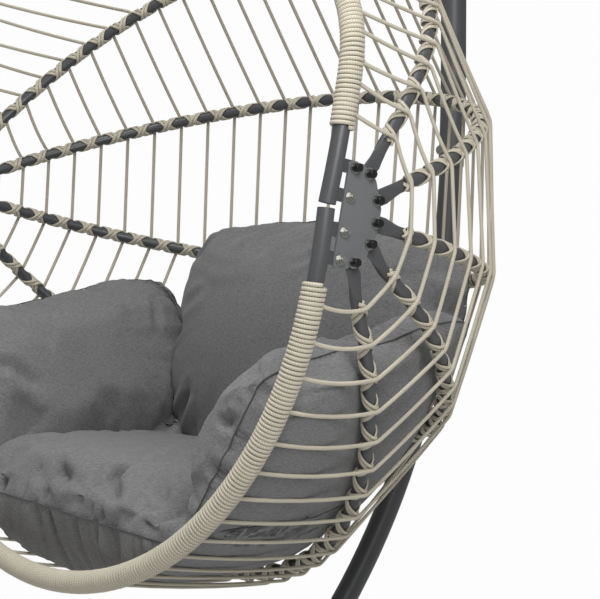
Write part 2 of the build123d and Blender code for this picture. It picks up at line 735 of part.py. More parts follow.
for name, wire, outer, wall in (
    ("lower_pole", lower_pole_wire, lower_pole_radius, pole_wall),
    ("upper_pole", upper_pole_wire, pole_radius, pole_wall),
):
    with BuildPart() as pole:
        sweep_tube(wire, outer, outer - wall)
        with Locations(Location((0, bolt_y, bolt_z), (90, 0, 0))):
            Cylinder(joint_bolt_diameter / 2 + bolt_clearance, 2 * pole_diameter, mode=Mode.SUBTRACT)
    save(pole, name)

bolt_reach = pole_radius + joint_bolt_head_height / 2
with BuildPart() as pole_joint_bolt:
    front = (0, bolt_y - bolt_reach, bolt_z)
    bar(front, (0, bolt_y + bolt_reach + joint_bolt_head_height, bolt_z), joint_bolt_diameter / 2)
    bar(front, (0, bolt_y - bolt_reach - joint_bolt_head_height, bolt_z), joint_bolt_head_diameter / 2)
save(pole_joint_bolt, "pole_joint_bolt")

with BuildPart() as pole_joint_washers:
    for side in (1, -1):
        with BuildSketch(Plane((0, bolt_y + side * bolt_reach, bolt_z), (1, 0, 0), (0, -side, 0))) as washer:
            Circle(joint_washer_diameter / 2)
            Circle(joint_bolt_diameter / 2 + bolt_clearance, mode=Mode.SUBTRACT)
        extrude(washer.sketch, amount=joint_washer_depth)
    with Locations(Location((0, bolt_y, bolt_z), (-lean_at(bolt_z), 0, 0))):
        Cylinder(pole_radius + lug_fit, 2 * pole_diameter, mode=Mode.SUBTRACT)
save(pole_joint_washers, "pole_joint_washers")

with BuildPart() as pole_joint_nut:
    with BuildSketch(Plane((0, bolt_y + bolt_reach, bolt_z), (1, 0, 0), (0, 1, 0))) as nut:
        RegularPolygon(joint_bolt_head_diameter / 2, 6, major_radius=False)
        Circle(joint_bolt_diameter / 2 + bolt_clearance, mode=Mode.SUBTRACT)
    extrude(nut.sketch, amount=joint_bolt_head_height)
save(pole_joint_nut, "pole_joint_nut")

with BuildPart() as pole_end_cap:
    end_point = upper_pole_wire @ 1
    end_way = upper_pole_wire % 1
    bar(end_point, end_point + end_way * end_cap_thickness, pole_radius)
    bar(end_point, end_point - end_way * end_cap_plug, pole_radius - pole_wall - bolt_clearance)
save(pole_end_cap, "pole_end_cap")

# ---- base: a ring in two halves, a cross bar, a socket for the pole's foot and a saddle under it ----
ring_tube_radius = ring_tube_diameter / 2
ring_bore = ring_tube_radius - ring_tube_wall
split_angle = math.degrees(ring_split_gap / ring_radius)
joiner_angle = math.degrees(joiner_length / ring_radius)
for name, start_angle in (("base_ring_front", 180), ("base_ring_rear", 0)):
    with BuildPart() as ring_half:
        with BuildLine(Plane.XY.offset(ring_height)) as ring_line:
            CenterArc((0, 0), ring_radius, start_angle + split_angle / 2, 180 - split_angle)
        sweep_tube(ring_line.wire(), ring_tube_radius, ring_bore)
        if start_angle == 180:
            socket_bore = lower_pole_radius + socket_clearance
            socket_mouth = (0, foot_end_y + socket_length, ring_height)
            bar((0, -ring_radius, ring_height), socket_mouth, socket_bore + socket_wall)
            bar((0, foot_end_y, ring_height), socket_mouth, socket_bore, mode=Mode.SUBTRACT)
    save(ring_half, name)

with BuildPart() as base_ring_joiners:
    for middle_angle in (0, 180):
        with BuildLine(Plane.XY.offset(ring_height)) as joiner_line:
            CenterArc((0, 0), ring_radius, middle_angle - joiner_angle / 2, joiner_angle)
        joiner_radius = ring_bore - joiner_clearance
        sweep_tube(joiner_line.wire(), joiner_radius, joiner_radius - ring_tube_wall)
save(base_ring_joiners, "base_ring_joiners")

with BuildPart() as base_cross_bar:
    bar_end = math.sqrt(ring_radius**2 - cross_bar_y**2)
    left_end = (-bar_end, cross_bar_y, ring_height)
    right_end = (bar_end, cross_bar_y, ring_height)
    bar(left_end, right_end, ring_tube_radius)
    bar(left_end, right_end, ring_bore, mode=Mode.SUBTRACT)
    with Locations((0, 0, ring_height)):
        Torus(ring_radius, ring_tube_radius + foot_fit, mode=Mode.SUBTRACT)
save(base_cross_bar, "base_cross_bar")

pole_height_at_bar = ring_height + pole_foot_radius - math.sqrt(pole_foot_radius**2 - (cross_bar_y - foot_y) ** 2)
with BuildPart() as base_saddle:
    saddle_height = pole_height_at_bar - ring_height
    with Locations((0, cross_bar_y, ring_height + saddle_height / 2)):
        Box(saddle_width, saddle_length, saddle_height)
    bar(
        (-saddle_width, cross_bar_y, ring_height), (saddle_width, cross_bar_y, ring_height),
        ring_tube_radius + foot_fit, mode=Mode.SUBTRACT,
    )
    with BuildSketch(Plane(origin=lower_pole_wire @ 0, z_dir=lower_pole_wire % 0)) as pole_section:
        Circle(lower_pole_radius + foot_fit)
    sweep(pole_section.sketch, path=lower_pole_wire, mode=Mode.SUBTRACT)
save(base_saddle, "base_saddle")

with BuildPart() as base_feet:
    with PolarLocations(ring_radius, foot_count):
        with Locations((0, 0, (foot_height + foot_wrap) / 2)):
            Cylinder(foot_diameter / 2, foot_height + foot_wrap)
    with Locations((0, 0, ring_height)):
        Torus(ring_radius, ring_tube_radius + foot_fit, mode=Mode.SUBTRACT)
save(base_feet, "base_feet")
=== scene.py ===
import bpy
import json
import math
import numpy as np
from mathutils import Euler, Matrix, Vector, noise
from mathutils.bvhtree import BVHTree
from mathutils.kdtree import KDTree


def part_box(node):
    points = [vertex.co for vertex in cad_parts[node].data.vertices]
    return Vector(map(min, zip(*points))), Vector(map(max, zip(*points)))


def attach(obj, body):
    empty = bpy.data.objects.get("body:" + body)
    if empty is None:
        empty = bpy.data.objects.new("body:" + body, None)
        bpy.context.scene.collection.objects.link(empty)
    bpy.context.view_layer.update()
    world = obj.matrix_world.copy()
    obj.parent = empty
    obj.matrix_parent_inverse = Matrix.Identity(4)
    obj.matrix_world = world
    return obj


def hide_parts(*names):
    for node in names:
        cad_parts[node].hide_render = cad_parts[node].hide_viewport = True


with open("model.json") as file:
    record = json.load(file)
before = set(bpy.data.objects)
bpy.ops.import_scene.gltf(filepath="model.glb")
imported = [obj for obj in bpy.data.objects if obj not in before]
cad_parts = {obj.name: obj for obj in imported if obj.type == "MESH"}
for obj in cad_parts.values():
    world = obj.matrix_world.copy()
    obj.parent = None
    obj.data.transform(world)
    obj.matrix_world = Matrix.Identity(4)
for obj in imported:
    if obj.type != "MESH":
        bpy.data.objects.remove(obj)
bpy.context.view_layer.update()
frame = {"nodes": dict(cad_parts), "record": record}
nodes = frame["nodes"]

# camera beside the chair's left front corner, level with the side plate
camera = {
    "place": (2.219, -1.762, 1.049),
    "looksAlong": (-0.8143, 0.58, -0.023),
    "lens": 111.0,  # mm on a 36 mm sensor
    "shift": (0.28, -0.224),
}
cameraData = bpy.data.cameras.new("camera")
cameraData.lens = camera["lens"]
cameraData.shift_x, cameraData.shift_y = camera["shift"]
cameraData.clip_start, cameraData.clip_end = 0.05, 60.0
cameraObject = bpy.data.objects.new("camera", cameraData)
cameraObject.location = camera["place"]
cameraObject.rotation_mode = "QUATERNION"
cameraObject.rotation_quaternion = Vector(camera["looksAlong"]).to_track_quat("-Z", "Y")
bpy.context.scene.collection.objects.link(cameraObject)
bpy.context.scene.camera = cameraObject
bpy.context.scene.view_settings.view_transform = "Standard"
print("camera placed")

# no cord on this chair hangs free: every rope is held at both ends and at each rib between


# colours and node helpers
def linear(hexColour):
    values = [int(hexColour[i:i + 2], 16) / 255 for i in (1, 3, 5)]
    return tuple(v / 12.92 if v <= 0.04045 else ((v + 0.055) / 1.055) ** 2.4 for v in values) + (1.0,)


def addNode(tree, kind, settings=None, links=None):
    node = tree.nodes.new(kind)
    for key, value in (settings or {}).items():
        if isinstance(key, int) or key in node.inputs:
            node.inputs[key].default_value = value
        else:
            setattr(node, key, value)
    for key, source in (links or {}).items():
        tree.links.new(source, node.inputs[key])
    return node


def newMaterial(name):
    material = bpy.data.materials.new(name)
    material.use_nodes = True
    tree = material.node_tree
    tree.nodes.clear()
    output = addNode(tree, "ShaderNodeOutputMaterial")
    return material, tree, output


# materials
# powder-coated steel: baked polyester powder over steel tube, a soft satin with very fine orange peel
def powderCoat(name, colour, roughness, grain):
    material, tree, output = newMaterial(name)
    place = addNode(tree, "ShaderNodeTexCoord")
    peel = addNode(
        tree, "ShaderNodeTexNoise", {"Scale": 1000 / grain, "Detail": 2.0},
        {"Vector": place.outputs["Object"]},
    )
    wear = addNode(
        tree, "ShaderNodeTexNoise", {"Scale": 9.0, "Detail": 4.0},
        {"Vector": place.outputs["Object"]},
    )
    tone = addNode(
        tree, "ShaderNodeMapRange", {"To Min": 0.88, "To Max": 1.12},
        {"Value": wear.outputs["Fac"]},
    )
    paint = addNode(
        tree, "ShaderNodeVectorMath", {"operation": "SCALE", 0: linear(colour)[:3]},
        {"Scale": tone.outputs["Result"]},
    )
    bump = addNode(
        tree, "ShaderNodeBump", {"Strength": 0.25, "Distance": 0.0002},
        {"Height": peel.outputs["Fac"]},
    )
    shader = addNode(
        tree, "ShaderNodeBsdfPrincipled", {"Metallic": 0.0, "Roughness": roughness, "IOR": 1.5},
        {"Base Color": paint.outputs["Vector"], "Normal": bump.outputs["Normal"]},
    )
    tree.links.new(shader.outputs["BSDF"], output.inputs["Surface"])
    return material


basketSteel = powderCoat("powder-coated_steel_tube", "#4A4B4D", 0.36, 0.7)
standSteel = powderCoat("powder-coated_steel_pole", "#4A4B4D", 0.42, 0.7)
plateSteel = powderCoat("powder-coated_steel_plate", "#66686A", 0.62, 1.4)


# moulded black plastic: polypropylene, slightly shiny with a soft edge
def plainShader(name, colour, roughness, metallic=0.0, ior=1.5, scratch=0.0):
    material, tree, output = newMaterial(name)
    shader = addNode(
        tree, "ShaderNodeBsdfPrincipled",
        {"Base Color": linear(colour), "Metallic": metallic, "Roughness": roughness, "IOR": ior},
    )
    if scratch:
        place = addNode(tree, "ShaderNodeTexCoord")
        marks = addNode(
            tree, "ShaderNodeTexNoise", {"Scale": 1400.0, "Detail": 3.0},
            {"Vector": place.outputs["Object"]},
        )
        bump = addNode(
            tree, "ShaderNodeBump", {"Strength": scratch, "Distance": 0.0001},
            {"Height": marks.outputs["Fac"]},
        )
        tree.links.new(bump.outputs["Normal"], shader.inputs["Normal"])
    tree.links.new(shader.outputs["BSDF"], output.inputs["Surface"])
    return material


blackPlastic = plainShader("polypropylene_cap", "#141415", 0.35, ior=1.49)
footRubber = plainShader("rubber_foot", "#1A1A1A", 0.8, ior=1.52)
zincSteel = plainShader("zinc-plated_steel", "#B4B4AF", 0.42, metallic=1.0, scratch=0.3)
hookSteel = plainShader("galvanised_steel", "#C4C4C2", 0.35, metallic=1.0, scratch=0.4)

rope = {
    "width": 0.0055,
    "thickness": 0.004675,
    "colour": "#C6BFAD",
    # the darker yarn colour: painted shade in the plait grooves, and the random dirt tone
    "shade": "#8C8470",
    "stitch": 0.0030,  # length of one plait along the rope
}


# polyester braided rope: flat plait of beige yarn, dull, with a chevron of plaits across it; the grooves
# between plaits are painted darker as painted shade
def ropeMaterial(name, light, dark):
    material, tree, output = newMaterial(name)
    uv = addNode(tree, "ShaderNodeUVMap", {"uv_map": "ropeUV"})
    split = addNode(tree, "ShaderNodeSeparateXYZ", None, {"Vector": uv.outputs["UV"]})
    across = addNode(
        tree, "ShaderNodeMath", {"operation": "PINGPONG", 1: rope["width"] / 2}, {0: split.outputs["Y"]}
    )
    slant = addNode(
        tree, "ShaderNodeMath", {"operation": "ADD"},
        {0: split.outputs["X"], 1: across.outputs[0]},
    )
    turns = addNode(
        tree, "ShaderNodeMath", {"operation": "MULTIPLY", 1: 2 * math.pi / rope["stitch"]},
        {0: slant.outputs[0]},
    )
    plait = addNode(tree, "ShaderNodeMath", {"operation": "SINE"}, {0: turns.outputs[0]})
    place = addNode(tree, "ShaderNodeTexCoord")
    yarn = addNode(
        tree, "ShaderNodeTexNoise", {"Scale": 900.0, "Detail": 3.0, "Roughness": 0.7},
        {"Vector": place.outputs["Object"]},
    )
    dirt = addNode(
        tree, "ShaderNodeTexNoise", {"Scale": 25.0, "Detail": 3.0},
        {"Vector": place.outputs["Object"]},
    )
    # the plait's height, low in the grooves: the colour below goes darker there as painted shade
    depth = addNode(
        tree, "ShaderNodeMapRange", {"From Min": -1.0, "To Min": 0.0, "To Max": 0.7},
        {"Value": plait.outputs[0]},
    )
    mixing = addNode(
        tree, "ShaderNodeMath", {"operation": "MULTIPLY_ADD", 1: 0.5},
        {0: yarn.outputs["Fac"], 2: depth.outputs["Result"]},
    )
    # random dirt tone added to the painted shade of the plait grooves
    dirtAndGrooveShade = addNode(
        tree, "ShaderNodeMath", {"operation": "MULTIPLY_ADD", 1: 0.5, "use_clamp": True},
        {0: dirt.outputs["Fac"], 2: mixing.outputs[0]},
    )
    colour = addNode(
        tree, "ShaderNodeMix", {"data_type": "RGBA", 6: linear(dark), 7: linear(light)},
        {0: dirtAndGrooveShade.outputs[0]},
    )
    bump = addNode(
        tree, "ShaderNodeBump", {"Strength": 0.5, "Distance": 0.0005},
        {"Height": mixing.outputs[0]},
    )
    shader = addNode(
        tree, "ShaderNodeBsdfPrincipled",
        {"Roughness": 0.75, "IOR": 1.5, "Sheen Weight": 0.15, "Sheen Roughness": 0.5},
        {"Base Color": colour.outputs[2], "Normal": bump.outputs["Normal"]},
    )
    tree.links.new(shader.outputs["BSDF"], output.inputs["Surface"])
    return material


ropeBraid = ropeMaterial("braided_polyester_rope", rope["colour"], rope["shade"])

cloth = {
    "light": "#787878",
    "dark": "#4B4B4C",
    "thread": 0.0009,  # width of one thread, in metres
    "slub": 0.006,  # length of a slub along the thread
}


# polyester weave: two-tone melange yarn, soft sheen at the edges and a fine cross-hatch of slubs
def clothMaterial(name, light, dark):
    material, tree, output = newMaterial(name)
    place = addNode(tree, "ShaderNodeTexCoord")
    hatch = []
    for stretch in ((1 / cloth["thread"], 1 / cloth["thread"], 1 / cloth["slub"]),
                    (1 / cloth["slub"], 1 / cloth["slub"], 1 / cloth["thread"])):
        scaled = addNode(
            tree, "ShaderNodeVectorMath", {"operation": "MULTIPLY", 1: stretch},
            {0: place.outputs["Object"]},
        )
        threads = addNode(
            tree, "ShaderNodeTexNoise", {"Scale": 1.0, "Detail": 2.0},
            {"Vector": scaled.outputs["Vector"]},
        )
        hatch.append(threads.outputs["Fac"])
    woven = addNode(tree, "ShaderNodeMath", {"operation": "ADD"}, {0: hatch[0], 1: hatch[1]})
    mottle = addNode(
        tree, "ShaderNodeMapRange", {"From Min": 0.7, "From Max": 1.3},
        {"Value": woven.outputs[0]},
    )
    broad = addNode(
        tree, "ShaderNodeTexNoise", {"Scale": 14.0, "Detail": 2.0},
        {"Vector": place.outputs["Object"]},
    )
    tone = addNode(
        tree, "ShaderNodeMath", {"operation": "MULTIPLY_ADD", 1: 0.35, "use_clamp": True},
        {0: broad.outputs["Fac"], 2: mottle.outputs["Result"]},
    )
    colour = addNode(
        tree, "ShaderNodeMix", {"data_type": "RGBA", 6: linear(dark), 7: linear(light)},
        {0: tone.outputs[0]},
    )
    bump = addNode(
        tree, "ShaderNodeBump", {"Strength": 0.35, "Distance": 0.0005},
        {"Height": woven.outputs[0]},
    )
    shader = addNode(
        tree, "ShaderNodeBsdfPrincipled",
        {"Roughness": 0.9, "IOR": 1.5, "Sheen Weight": 0.12, "Sheen Roughness": 0.6},
        {"Base Color": colour.outputs[2], "Normal": bump.outputs["Normal"]},
    )
    tree.links.new(shader.outputs["BSDF"], output.inputs["Surface"])
    return material


cushionCloth = clothMaterial("polyester_weave", cloth["light"], cloth["dark"])
# the seam strand's cloth: a darker copy of the cushion cloth, painted shade for the seam's groove
seamShadeCloth = clothMaterial("polyester_seam_painted_shade", "#4A4B4C", "#343536")

# each CAD node takes the material of its record slot
slotMaterials = {
    "basket_steel": basketSteel,
    "plate_steel": plateSteel,
    "stand_steel": standSteel,
    "rope": ropeBraid,
    "cushion_cloth": cushionCloth,
    "black_plastic": blackPlastic,
    "foot_rubber": footRubber,
    "zinc_fasteners": zincSteel,
    "hook_steel": hookSteel,
}
for entry in frame["record"]["subparts"]:
    node = nodes[entry["node"]]
    node.data.materials.clear()
    node.data.materials.append(slotMaterials[entry["material_slot"]])
    node.data.shade_smooth()
    node.data.set_sharp_from_angle(angle=math.radians(35))
print("materials assigned")


# the basket's hoops: the same five tangent arcs as the steel follows
basket = {
    "hub": (-0.250, 0.947),  # y and z of the side plates' axis
    "plateLean": 12.0,
    "rimRadius": 0.011,
    "ribRadius": 0.008,
    "halfWidth": 0.508,
    "ribInset": 0.015,
    "ribLead": 0.050,
    "rimStart": 0.003,
    "pointSpacing": 0.002,
}
hubPoint = np.array([0.0, *basket["hub"]])
rims = {
    "upper": {"turn": 13.5, "rise": 0.460, "flare": 3.0, "side": 1.400, "shoulder": (4.0, 51.5)},
    "lower": {"turn": 190.5, "rise": 0.552, "flare": 3.0, "side": 0.800, "shoulder": (5.5, 63.5)},
}
ribs = [
    {"turn": turn, "bolt": bolt, "rise": rise, "flare": flare, "side": side, "shoulder": shoulder}
    for turn, bolt, rise, flare, side, shoulder in (
        (46.0, (0.062, 0.052), 0.489, -8.8, 0.733, (16.7, 73.2)),
        (74.0, (0.082, 0.022), 0.505, -5.0, 0.506, (34.6, 49.7)),
        (105.3, (0.086, -0.0065), 0.477, 0.0, 0.498, (5.4, 68.6)),
        (133.9, (0.081, -0.034), 0.490, 9.3, 0.300, (25.0, 82.0)),
        (160.1, (0.059, -0.061), 0.539, -2.7, 0.557, (11.6, 81.0)),
    )
]


def unit(vectors):
    vectors = np.asarray(vectors, float)
    return vectors / np.maximum(np.linalg.norm(vectors, axis=-1, keepdims=True), 1e-12)


def atPlate(u, v):
    lean = math.radians(basket["plateLean"])
    y, z = basket["hub"]
    return y + u * math.cos(lean) + v * math.sin(lean), z - u * math.sin(lean) + v * math.cos(lean)


# points along a hoop from its +X end, with the hoop's outward side at each
def hoopLine(hoop, halfWidth, start, origin):
    flare = math.radians(hoop["flare"])
    low, high = (math.radians(a) for a in hoop["shoulder"])
    inward = halfWidth - hoop["side"] * (math.cos(flare) - math.cos(low))
    upward = hoop["rise"] - start - hoop["side"] * (math.sin(low) + math.sin(flare))
    # the two unknown radii, from how far in and up the shoulder and crown must reach together
    across, rising = math.cos(low) - math.cos(high), math.sin(high) - math.sin(low)
    below = across * (1 - math.sin(high)) - math.cos(high) * rising
    bend = (inward * (1 - math.sin(high)) - math.cos(high) * upward) / below
    crown = (across * upward - rising * inward) / below
    side, shoulder = (hoop["side"], low + flare), (bend, high - low)
    arcs = [side, shoulder, (crown, math.pi - 2 * high), shoulder, side]
    heading = math.pi / 2 - flare
    here = np.array([halfWidth, start])
    flat, sides = [], []
    for radius, sweep in arcs:
        count = max(2, int(radius * sweep / basket["pointSpacing"]))
        centre = here + radius * np.array([-math.sin(heading), math.cos(heading)])
        angles = heading + np.linspace(0, sweep, count + 1)
        ring = centre + radius * np.stack([np.sin(angles), -np.cos(angles)], 1)
        flat.append(ring[:-1])
        sides.append(np.stack([np.sin(angles), -np.cos(angles)], 1)[:-1])
        heading += sweep
        here = ring[-1]
    flat = np.concatenate(flat)
    sides = np.concatenate(sides)
    turn = math.radians(hoop["turn"])
    outDirection = np.array([0.0, math.sin(turn), math.cos(turn)])
    xDirection = np.array([1.0, 0.0, 0.0])
    points = np.array([0.0, *origin]) + flat[:, :1] * xDirection + flat[:, 1:] * outDirection
    outside = sides[:, :1] * xDirection + sides[:, 1:] * outDirection
    return points, outside


class Line:
    def __init__(self, points, outside):
        self.points, self.outside = points, outside
        self.lengths = np.concatenate([[0], np.cumsum(np.linalg.norm(np.diff(points, axis=0), axis=1))])
        self.length = self.lengths[-1]
        self.ways = unit(np.gradient(points, axis=0))

    def at(self, place):
        pick = lambda table: np.stack([np.interp(place, self.lengths, table[:, i]) for i in range(3)], -1)
        return pick(self.points), unit(pick(self.ways)), unit(pick(self.outside))


rimLines = {
    name: Line(*hoopLine(rim, basket["halfWidth"], basket["rimStart"], basket["hub"]))
    for name, rim in rims.items()
}
ribLines = [
    Line(*hoopLine(rib, basket["halfWidth"] - basket["ribInset"], basket["ribLead"], atPlate(*rib["bolt"])))
    for rib in ribs
]
for number, line in enumerate(ribLines, 1):
    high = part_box(f"rib_{number}")[1]
    reached = float(np.abs(line.points[:, 0]).max()) + basket["ribRadius"]
    print(f"rib {number}: steel reaches {high.x:.4f}, its line {reached:.4f}")

lacing = {
    "ropes": 32,
    "wrapStart": 0.093,
    "firstRope": 0.120,
    "firstKnot": 0.062,
    "spread": 0.29,
    "pairShift": 0.008,
    "ring": 0.01455,  # rope's distance from the middle of a rib it crosses
    "wrapRadius": 0.0165,
    "tucked": 0.002,  # how far a rope's end goes in under the rim's winding
    "leastPull": 0.45,  # under this, a rope goes over the outside of the rib
    "passes": 6,
    "spacing": 0.006,
}
halfCount = (lacing["ropes"] - 1) / 2
ropeSteps = [step - halfCount for step in range(lacing["ropes"])]


def rimPlace(line, step, spread, shift):
    share = abs(step) / halfCount
    moved = (line.length / 2 - lacing["firstRope"]) * share * (1 + spread * (1 - share))
    if round(halfCount - abs(step)) % 2:
        moved -= shift
    return line.length / 2 - math.copysign(moved, step)


def knotPlace(line, step):
    reach = line.length / 2 - (lacing["firstKnot"] - basket["ribLead"])
    return line.length / 2 - reach * step / halfCount


def ropeCorners(step):
    top = rimLines["upper"].at(rimPlace(rimLines["upper"], step, lacing["spread"], lacing["pairShift"]))[0]
    low = rimLines["lower"].at(rimPlace(rimLines["lower"], step, 0.0, 0.0))[0]
    crossings = [line.at(knotPlace(line, step)) for line in ribLines]
    corners = [top, *[point for point, way, outside in crossings], low]
    for _ in range(lacing["passes"]):
        for i, (point, way, outside) in enumerate(crossings, 1):
            arriving = unit(corners[i] - corners[i - 1])
            leaving = unit(corners[i + 1] - corners[i])
            outward = arriving - leaving
            outward = outward - way * outward.dot(way)
            if outward.dot(outside) < lacing["leastPull"]:
                outward = outside
            half = math.acos(min(1.0, arriving.dot(leaving))) / 2
            slant = way.dot(unit(arriving + leaving))
            reach = lacing["ring"] * math.sqrt(1 + math.tan(half) ** 2 / (1 - slant**2))
            corners[i] = point + unit(outward) * reach
    corners[0] = corners[0] + unit(corners[1] - corners[0]) * (lacing["wrapRadius"] - lacing["tucked"])
    corners[-1] = corners[-1] + unit(corners[-2] - corners[-1]) * (lacing["wrapRadius"] - lacing["tucked"])
    return np.array(corners), np.array([outside for point, way, outside in crossings])


# rounds each corner of a run of straights with an arc, as the rope bends over a rib
def roundCorners(corners, radius, perBend=7):
    points = [corners[0]]
    for before, here, after in zip(corners, corners[1:], corners[2:]):
        arriving, leaving = unit(here - before), unit(after - here)
        half = math.acos(min(1.0, arriving.dot(leaving))) / 2
        if half < 0.01:
            points.append(here)
            continue
        middle = here + unit(leaving - arriving) * radius / math.cos(half)
        for share in np.linspace(-1, 1, perBend):
            turned = half * share
            outward, onward = unit(arriving - leaving), unit(arriving + leaving)
            direction = outward * math.cos(turned) + onward * math.sin(turned)
            points.append(middle + direction * radius)
    points.append(corners[-1])
    return np.array(points)


# meshes swept along lines
class Sweeps:
    def __init__(self):
        self.verts, self.faces, self.uvs, self.count = [], [], [], 0

    def add(self, points, sides, profile, capped=True):
        points = np.asarray(points, float)
        ways = unit(np.gradient(points, axis=0))
        sides = np.asarray(sides, float)
        sides = unit(sides - ways * np.sum(sides * ways, axis=1, keepdims=True))
        ups = np.cross(ways, sides)
        profile = np.asarray(profile, float)
        if profile.ndim == 2:
            profile = np.repeat(profile[None], len(points), axis=0)
        rings = points[:, None] + profile[..., :1] * sides[:, None] + profile[..., 1:] * ups[:, None]
        rows, across = rings.shape[:2]
        lengths = np.concatenate([[0], np.cumsum(np.linalg.norm(np.diff(points, axis=0), axis=1))])
        loop = np.arange(across)
        base = self.count + np.arange(rows - 1)[:, None] * across
        nextOne = np.roll(loop, -1)
        quads = np.stack([base + loop, base + nextOne, base + across + nextOne, base + across + loop], -1)
        widths = (loop / across) * rope["width"] * 2
        along = np.stack([lengths[:-1], lengths[:-1], lengths[1:], lengths[1:]], 1)
        along = along[:, None].repeat(across, 1)
        further = widths + rope["width"] * 2 / across
        around = np.stack([widths, further, further, widths], 1)
        around = around[None].repeat(rows - 1, 0)
        self.verts.append(rings.reshape(-1, 3))
        self.faces += quads.reshape(-1, 4).tolist()
        self.uvs.append(np.stack([along, around], -1).reshape(-1, 2))
        if capped:
            for first, order in ((self.count, -1), (self.count + (rows - 1) * across, 1)):
                self.faces.append((first + loop)[::order].tolist())
                self.uvs.append(np.zeros((across, 2)))
        self.count += rows * across

    def piece(self, name, material, body, slotName):
        mesh = bpy.data.meshes.new(name)
        mesh.from_pydata(np.concatenate(self.verts).tolist(), [], self.faces)
        layer = mesh.uv_layers.new(name="ropeUV")
        layer.data.foreach_set("uv", np.concatenate(self.uvs).astype(np.float32).ravel())
        mesh.materials.append(material)
        mesh.shade_smooth()
        made = bpy.data.objects.new(name, mesh)
        bpy.context.scene.collection.objects.link(made)
        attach(made, body)
        return made


def oval(width, thickness, corners=10, squareness=0.8):
    angles = np.linspace(0, 2 * math.pi, corners, endpoint=False)
    places = []
    for turn, size in ((np.cos(angles), width), (np.sin(angles), thickness)):
        places.append(np.sign(turn) * np.abs(turn) ** squareness * size / 2)
    return np.stack(places, 1)


def sample(points, spacing):
    lengths = np.concatenate([[0], np.cumsum(np.linalg.norm(np.diff(points, axis=0), axis=1))])
    places = np.linspace(0, lengths[-1], max(4, int(lengths[-1] / spacing)))
    return np.stack([np.interp(places, lengths, points[:, i]) for i in range(3)], 1)


# the long ropes
slack = {
    "panel": 0.0025,  # how far a span hangs from straight, in metres
    "lower": 0.0075,
    "hub": 0.016,
    "hubStart": 0.45,  # past this share of the way from the middle to the plates, ropes hang more
    "fullSpan": 0.10,  # shorter spans hang less
    "even": 0.8,
    "uneven": 0.7,
    "shares": (0.15, 0.32, 0.5, 0.68, 0.85),
}


# lets each span between two corners hang a little, more in the last panel and in spans by the plates
def hang(corners, step):
    points = [corners[0]]
    spans = len(corners) - 1
    for number, (before, after) in enumerate(zip(corners, corners[1:])):
        far = float(np.linalg.norm(after - before))
        drop = slack["lower"] if number == spans - 1 else slack["panel"]
        if number == 1:
            drop += slack["hub"] * max(0.0, abs(step) / halfCount - slack["hubStart"])
        loose = noise.noise(Vector((step * 1.7, number * 3.1, 0.4)))
        drop *= min(1.0, far / slack["fullSpan"]) * (slack["even"] + slack["uneven"] * loose)
        for share in slack["shares"]:
            hung = np.array([0, 0, 4 * drop * share * (1 - share)])
            points.append(before + (after - before) * share - hung)
        points.append(after)
    return np.array(points)


ropeSides = {"right": Sweeps(), "left": Sweeps()}
basketMiddle = hubPoint + (0.0, 0.1, -0.05)
for step in ropeSteps:
    corners = ropeCorners(step)[0]
    points = sample(roundCorners(hang(corners, step), lacing["ring"]), lacing["spacing"])
    # the flat of the rope faces the middle of the basket
    sides = np.cross(np.gradient(points, axis=0), points - basketMiddle)
    side = "right" if step > 0 else "left"
    ropeSides[side].add(points, sides, oval(rope["width"], rope["thickness"]))
for side, sweeps in ropeSides.items():
    made = sweeps.piece(f"{side}_braided_ropes", ropeBraid, "basket", "rope")
    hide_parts(f"{side}_ropes")
print("ropes laced")

# rope wound round the rim
winding = {
    "pitch": 0.0057,
    "thickness": 0.0050,
    "perTurn": 20,
    "wander": 0.0018,  # how far a turn strays along the rim
    "lift": 0.0004,  # how far a turn's radius strays
    "topGap": 0.012,  # half the bare tube under the lug
}


def windRim(name, line, gap):
    half = len(line.points) // 2
    apart = np.abs(line.points[:half] - line.points[0]).max(1)
    start = float(np.interp(lacing["wrapStart"], apart, line.lengths[:half]))
    stretches = [(start, line.length - start)]
    if gap:
        stretches = [(start, line.length / 2 - gap), (line.length / 2 + gap, line.length - start)]
    sweeps = Sweeps()
    for begin, end in stretches:
        turns = (end - begin) / winding["pitch"]
        count = int(turns * winding["perTurn"])
        share = np.linspace(0, 1, count)
        phase = share * turns * 2 * math.pi
        place = begin + share * (end - begin)
        strays = np.array([noise.noise(Vector((p * 31.0, 3.7, begin * 9))) for p in place])
        place = place + strays * winding["wander"]
        points, ways, outside = line.at(place)
        across = np.cross(ways, outside)
        lifts = np.array([noise.noise(Vector((p * 7.0, 0.2, begin))) for p in phase / 6])
        radius = basket["rimRadius"] + winding["thickness"] / 2 + lifts * winding["lift"]
        spokes = outside * np.cos(phase)[:, None] + across * np.sin(phase)[:, None]
        turn = oval(rope["width"], winding["thickness"], 8)
        sweeps.add(points + spokes * radius[:, None], ways, turn)
    return sweeps.piece(name, ropeBraid, "basket", "rope")


for name, gap in (("upper", winding["topGap"]), ("lower", 0.0)):
    made = windRim(f"{name}_rim_winding", rimLines[name], gap)
    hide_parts(f"{name}_rim_rope_wrap")
print("rims wound")

